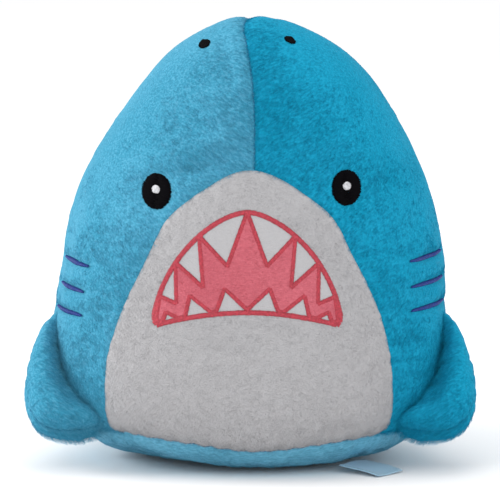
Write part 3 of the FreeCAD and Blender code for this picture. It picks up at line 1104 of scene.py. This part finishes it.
def satin_oval(place, centre, radii, tilt, spacing, rng, ragged=0.35 * MM, pieces=1):
    """Rows of stitches that fill an oval, from its bottom to its top."""
    made = []
    turn = np.array([[math.cos(tilt), -math.sin(tilt)], [math.sin(tilt), math.cos(tilt)]])
    for v in np.arange(-radii[1], radii[1], spacing):
        half = radii[0] * math.sqrt(max(0.0, 1 - (v / radii[1]) ** 2))
        if half < 0.4 * MM:
            continue
        low = -half + rng.uniform(-ragged, ragged)
        high = half + rng.uniform(-ragged, ragged)
        cuts = [low]
        for n in range(1, pieces):
            cuts.append(low + (high - low) * (n / pieces + rng.uniform(-0.09, 0.09)))
        cuts.append(high)
        for a, b in zip(cuts, cuts[1:]):
            a -= 0.35 * MM if a > low else 0.0      # the columns overlap
            b += 0.35 * MM if b < high else 0.0
            start, up_start = place(*(centre + turn @ np.array([a, v])))
            end, up_end = place(*(centre + turn @ np.array([b, v])))
            made.append((start, end, up_start + up_end))
    return made


# ---------------------------------------------------------------- the face's lines

MOUTH_LOW, MOUTH_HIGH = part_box("mouth_stitching")
MOUTH_LINE = 2.6 * MM
MOUTH_HALF = 0.965 * (MOUTH_HIGH.x - MOUTH_LINE / 2)
MOUTH_TOP = MOUTH_HIGH.z - MOUTH_LINE / 2 - 1.0 * MM
MOUTH_SHIFT = -1.0 * MM     # the embroidery isn't quite in the middle
MOUTH_SAG = 8.4 * MM
MOUTH_CORNER = MOUTH_LOW.z + MOUTH_LINE / 2
MOUTH_POWER = 1.68


def mouth_arch(x):
    share = min(1.0, abs(x) / MOUTH_HALF)
    height = (1 - share**MOUTH_POWER) ** (1 / MOUTH_POWER)
    return MOUTH_CORNER + (MOUTH_TOP - MOUTH_CORNER) * height


def mouth_bottom(x):
    return MOUTH_CORNER + MOUTH_SAG * (1 - (x / MOUTH_HALF) ** 2)


def mouth_rim_path():
    arch = []
    for degrees in range(12, 169, 4):
        x = MOUTH_HALF * math.cos(math.radians(degrees))
        arch.append((x, mouth_arch(x)))
    corner = [(0.992, 5.2 * MM), (0.985, 2.4 * MM), (0.955, 0.4 * MM)]
    right = [(x * MOUTH_HALF, MOUTH_CORNER + up) for x, up in corner]
    left = [(-x, z) for x, z in right]
    bottom = [(x, mouth_bottom(x)) for x in np.linspace(-0.9, 0.9, 22) * MOUTH_HALF]
    return arch + left + bottom + right[::-1] + arch[:1]


def mouth_zigzag():
    """The line between teeth and mouth, on the right and on the left.

    Its corners go from the middle top to the middle bottom: x as a share of the half
    width, and height as a share of the space between the bottom line and the arch.
    """
    corners = [(0.0, 1.0), (0.21, 0.49), (0.51, 1.0), (0.465, 0.335), (0.76, 1.0)]
    corners += [(0.75, 0.28), (0.93, 0.92)]
    corners += [(0.965, 0.2), (0.9, 0.04), (0.865, 0.25), (0.73, 0.03), (0.66, 0.03)]
    corners += [(0.61, 0.31), (0.385, 0.03), (0.33, 0.03), (0.24, 0.265), (0.0, 0.03)]

    def corner(share_x, share_z):
        x = share_x * MOUTH_HALF
        low = mouth_bottom(x)
        return x, low + share_z * (mouth_arch(x) - low)

    return [[corner(sign * x, z) for x, z in corners] for sign in (1, -1)]


def inside(points, polygon):
    """Which 2-D points lie inside a polygon, by counting crossings."""
    result = np.zeros(len(points), bool)
    x, y = points[:, 0], points[:, 1]
    for (x0, y0), (x1, y1) in zip(polygon, polygon[1:] + polygon[:1]):
        crosses = (y0 > y) != (y1 > y)
        with np.errstate(divide="ignore", invalid="ignore"):
            at = (x1 - x0) * (y - y0) / (y1 - y0) + x0
        result ^= crosses & (x < at)
    return result


def in_mouth(p):
    rim = [(x + MOUTH_SHIFT, z) for x, z in mouth_rim_path()]
    return (p[:, 1] < -40 * MM) & inside(p[:, [0, 2]], rim)


def make_mouth(surface, rng):
    right, left = mouth_zigzag()
    outline = right + left[::-1]
    step = 1.0 * MM
    xs = np.arange(-MOUTH_HALF, MOUTH_HALF, step)
    zs = np.arange(MOUTH_CORNER - step, MOUTH_TOP, step)
    bm = bmesh.new()
    verts = {}

    def vert(i, j):
        if (i, j) not in verts:
            place, normal = surface.mouth(xs[i], zs[j])
            verts[i, j] = bm.verts.new(place + normal * 0.35 * MM)
        return verts[i, j]

    middles = np.array([(x + step / 2, z + step / 2) for x in xs[:-1] for z in zs[:-1]])
    wanted = inside(middles, outline).reshape(len(xs) - 1, len(zs) - 1)
    for i, j in zip(*np.nonzero(wanted)):
        bm.faces.new([vert(i, j), vert(i + 1, j), vert(i + 1, j + 1), vert(i, j + 1)])
    smooth(bm, 2, 0.3)
    patch = new_object("mouth_patch_fabric", bm, [CLOTHS["pink"]])
    finish_piece(patch, "body", "mouth_fabric", "mouth_patch")

    spacing = 0.42 * MM
    stitches = satin_line(surface.mouth, mouth_rim_path(), MOUTH_LINE, spacing, rng)
    for side in (right, left):
        for path in zip(side, side[1:]):
            stitches += satin_line(surface.mouth, path, MOUTH_LINE * 0.9, spacing, rng)
    sew("mouth_satin_stitch", stitches, "mouth_thread", MOUTH_SATIN, "mouth_stitching")
    return patch


def make_eyes(surface, rng):
    for side, sign in SIDES:
        centre = eye_middle(sign)
        tilt = sign * math.radians(7)
        rows = satin_oval(surface.front, centre, EYE_SIZE, tilt, 0.36 * MM, rng, pieces=2)
        sew(side + "_eye_satin", rows, "black_thread", EYE_SATIN, side + "_eye_stitching")

        def raised(x, z):
            place, normal = surface.front(x, z)
            return place + normal * 0.8 * MM, normal

        radii = 0.86 * front_oval(side + "_eye_highlight")[1]
        spot = centre + np.array([0.0, 0.8 * MM])
        rows = satin_oval(raised, spot, radii, tilt, 0.34 * MM, rng, 0.2 * MM)
        sew(side + "_eye_shine", rows, "white_thread", SHINE_SATIN, side + "_eye_highlight")


NOSTRIL_SQUASH = {"left": 0.8, "right": 0.62}     # of their height; they look up


def make_nostrils(surface, rng):
    for side, sign in SIDES:
        radii = NOSTRIL_SIZE * (1, NOSTRIL_SQUASH[side])
        rows = satin_oval(surface.front, nostril_middle(sign), radii,
                          -sign * math.radians(24), 0.15 * MM, rng, 0.25 * MM)
        sew(side + "_nostril_satin", rows, "black_thread", NOSTRIL_SATIN,
            side + "_nostril_stitching")


def make_gills(surface, rng):
    for side, sign in SIDES:
        def place(y, z):
            return surface.side(y, z, sign)

        stitches = []
        for z in GILL_HEIGHTS:
            low, short = (GILL_DROP, 6 * MM) if sign < 0 else (0.0, 0.0)
            path = [(GILL_FRONT + short, z - low - 0.2 * MM), (GILL_REAR, z - low + 0.2 * MM)]
            stitches += satin_line(place, path, 2.4 * MM, 0.4 * MM, rng,
                                   taper=lambda t: 0.35 + 0.65 * math.sin(math.pi * t) ** 0.5)
        sew(side + "_gill_satin", stitches, "navy_thread", GILL_SATIN,
            side + "_gill_stitching")


def make_body_seams(runs):
    middle = np.array([0.0, 0.0, 90 * MM])
    for name, rows in runs.items():
        stitches = []
        for run in rows:
            stitches += seam_stitches(run, middle, -0.7 * MM if name == "belly" else 0.0)
        sew(name + "_seam_stitches", stitches, "sewing_thread", SEWN, name + "_seam_thread")


def make_label():
    """The care label: a thin satin strip with a soft wave, blank on both sides."""
    points = node_points("care_label")
    middle = points.mean(0)
    _, _, (long, wide, thin) = np.linalg.svd(points - middle, full_matrices=False)
    half_long, half_wide, half_thin = (np.abs((points - middle) @ axis).max()
                                       for axis in (long, wide, thin))
    bm = bmesh.new()
    bmesh.ops.create_grid(bm, x_segments=24, y_segments=20, size=1.0)
    for vert in bm.verts:
        u, v = vert.co.x, vert.co.y
        wave = 0.5 * MM * math.sin(2.2 * u + 0.6) + 0.35 * MM * math.sin(2.6 * v - u)
        vert.co = middle + long * u * half_long + wide * v * half_wide + thin * (wave - half_thin)
    made = bmesh.ops.extrude_face_region(bm, geom=bm.faces[:])["geom"]
    lifted = [item for item in made if isinstance(item, bmesh.types.BMVert)]
    bmesh.ops.translate(bm, verts=lifted, vec=Vector(thin * 2 * half_thin))
    bmesh.ops.recalc_face_normals(bm, faces=bm.faces)
    obj = new_object("care_label_satin", bm, [woven_satin("label_satin", LABEL)])
    finish_piece(obj, "label", "label_satin", "care_label")


# ---------------------------------------------------------------- where the pile grows

def under_stitches(p):
    """Points that embroidery covers or presses flat, where no pile stands."""
    bare = (eye_distance(p) < 0.97) | in_mouth(p)
    for side in (-1, 1):
        x, z = ((p[:, [0, 2]] - nostril_middle(side)) / NOSTRIL_SIZE).T
        bare |= is_front(p) & (np.hypot(x, z) < 1.0)
    for height, on_line in gill_distances(p):
        bare |= on_line & (height > -1.6 * MM) & (height < 2.2 * MM)
    return bare


def gill_distances(p):
    """For each gill line: how far each point is above it, and whether it is beside it."""
    found = []
    on_line = (p[:, 1] > GILL_FRONT) & (p[:, 1] < GILL_REAR)
    left = p[:, 0] < 0
    for z in GILL_HEIGHTS:
        found.append((p[:, 2] - z + np.where(left, GILL_DROP, 0.0), on_line))
    return found


def near_seams(p):
    """How much shorter the pile is: it is caught in the seams and under the stitches."""
    belly, centre, base = seam_distances(p)
    seam = np.minimum(np.minimum(belly + MM, centre), base)
    gill = np.ones(len(p))
    for height, _ in gill_distances(p):
        beyond = np.maximum(np.maximum(GILL_FRONT - p[:, 1], p[:, 1] - GILL_REAR), 0)
        gill = np.minimum(gill, np.hypot(beyond, height))
    from_eye = np.maximum(eye_distance(p) - 1, 0)
    reaches = (seam / (1.6 * MM), gill / (3.2 * MM), from_eye / 0.16)
    return 0.6 * np.exp(-(np.minimum.reduce(reaches) ** 2))


BLUE_PILE = 2.3 * MM        # lengths of the pile, and strands for each square millimetre
WHITE_PILE = 0.7 * MM
MOUTH_PILE = 0.7 * MM
DENSE, FINE = 3.4, 6.0


def grow_all_pile():
    combs = {"left": (0.7, 0, -0.7), "right": (-0.7, 0, -0.7), "base": (0, 0, -0.7)}
    for seed, (name, obj) in enumerate(body.items()):
        pile_groups(obj, under_stitches, near_seams)
        if name == "belly":
            white = FIBRES["white"]
            grow_pile(obj, white, FINE, WHITE_PILE, (0, 0, -0.8), seed, 0.05)
        else:
            look = name.split("_")[0]
            grow_pile(obj, FIBRES[look], DENSE, BLUE_PILE, combs[look], seed)
    for seed, (obj, look) in enumerate(sewn_on):
        grow_pile(obj, FIBRES[look], DENSE, BLUE_PILE, combs[look], 20 + seed)
    pink = FIBRES["pink"]
    grow_pile(mouth_patch, pink, FINE, MOUTH_PILE, (0, 0, -0.6), 40, 0.05)


# ---------------------------------------------------------------- assembly

body, body_seams = make_body()
sewn_on = make_sewn_on()
make_body_seams(body_seams)
make_label()
skin = Surface(*body.values())
random = np.random.default_rng(SEED)
mouth_patch = make_mouth(skin, random)
make_eyes(skin, random)
make_nostrils(skin, random)
make_gills(skin, random)
grow_all_pile()


# ---------------------------------------------------------------- camera, light, floor

def make_stage():
    bm = bmesh.new()
    bmesh.ops.create_grid(bm, x_segments=2, y_segments=2, size=60)
    s = Shader("studio_floor")
    s.look(Base_Color=(0.95, 0.95, 0.955, 1), Roughness=0.9, Specular_IOR_Level=0.0)
    new_object("studio_floor", bm, [s.material])

    def area(name, place, size, power, tint):
        lamp = bpy.data.lights.new(name, "AREA")
        lamp.shape = "DISK"
        lamp.size = size
        lamp.energy = power
        lamp.color = tint
        obj = placed(name, lamp)
        obj.location = place
        aim = Vector((0, 0, 0.12)) - Vector(place)
        obj.rotation_euler = aim.to_track_quat("-Z", "Y").to_euler()

    area("key_light", (-0.75, -1.3, 1.25), 0.9, 4, (1.0, 0.99, 0.98))
    area("fill_light", (1.1, -1.1, 0.7), 1.2, 3, (0.96, 0.98, 1.0))
    area("top_light", (0.1, 0.3, 1.6), 1.0, 4, (1.0, 1.0, 1.0))
    area("low_light", (0.1, -1.5, 0.1), 1.0, 3, (1.0, 1.0, 1.0))
    area("left_light", (-1.4, 0.15, 0.7), 0.9, 12, (1.0, 1.0, 1.0))
    world = bpy.data.worlds.new("studio")
    world.use_nodes = True
    world.node_tree.nodes["Background"].inputs["Color"].default_value = (1, 1, 1, 1)
    world.node_tree.nodes["Background"].inputs["Strength"].default_value = 1.0
    bpy.context.scene.world = world
    bpy.context.scene.view_settings.view_transform = "Standard"


def make_camera():
    """Level with the toy's face, from a little above, far enough away to look flat."""
    distance = 4.5
    frame_width = 0.2733
    elevation = math.radians(8)
    target = Vector((0.0005, 0, 0.1145))
    back = Vector((0, -math.cos(elevation), math.sin(elevation)))
    lens = bpy.data.cameras.new("camera")
    lens.lens = lens.sensor_width * distance / frame_width
    lens.clip_start = 0.5
    camera = placed("camera", lens)
    camera.location = target + back * distance
    camera.rotation_euler = (-back).to_track_quat("-Z", "Y").to_euler()
    bpy.context.scene.camera = camera


make_stage()
make_camera()
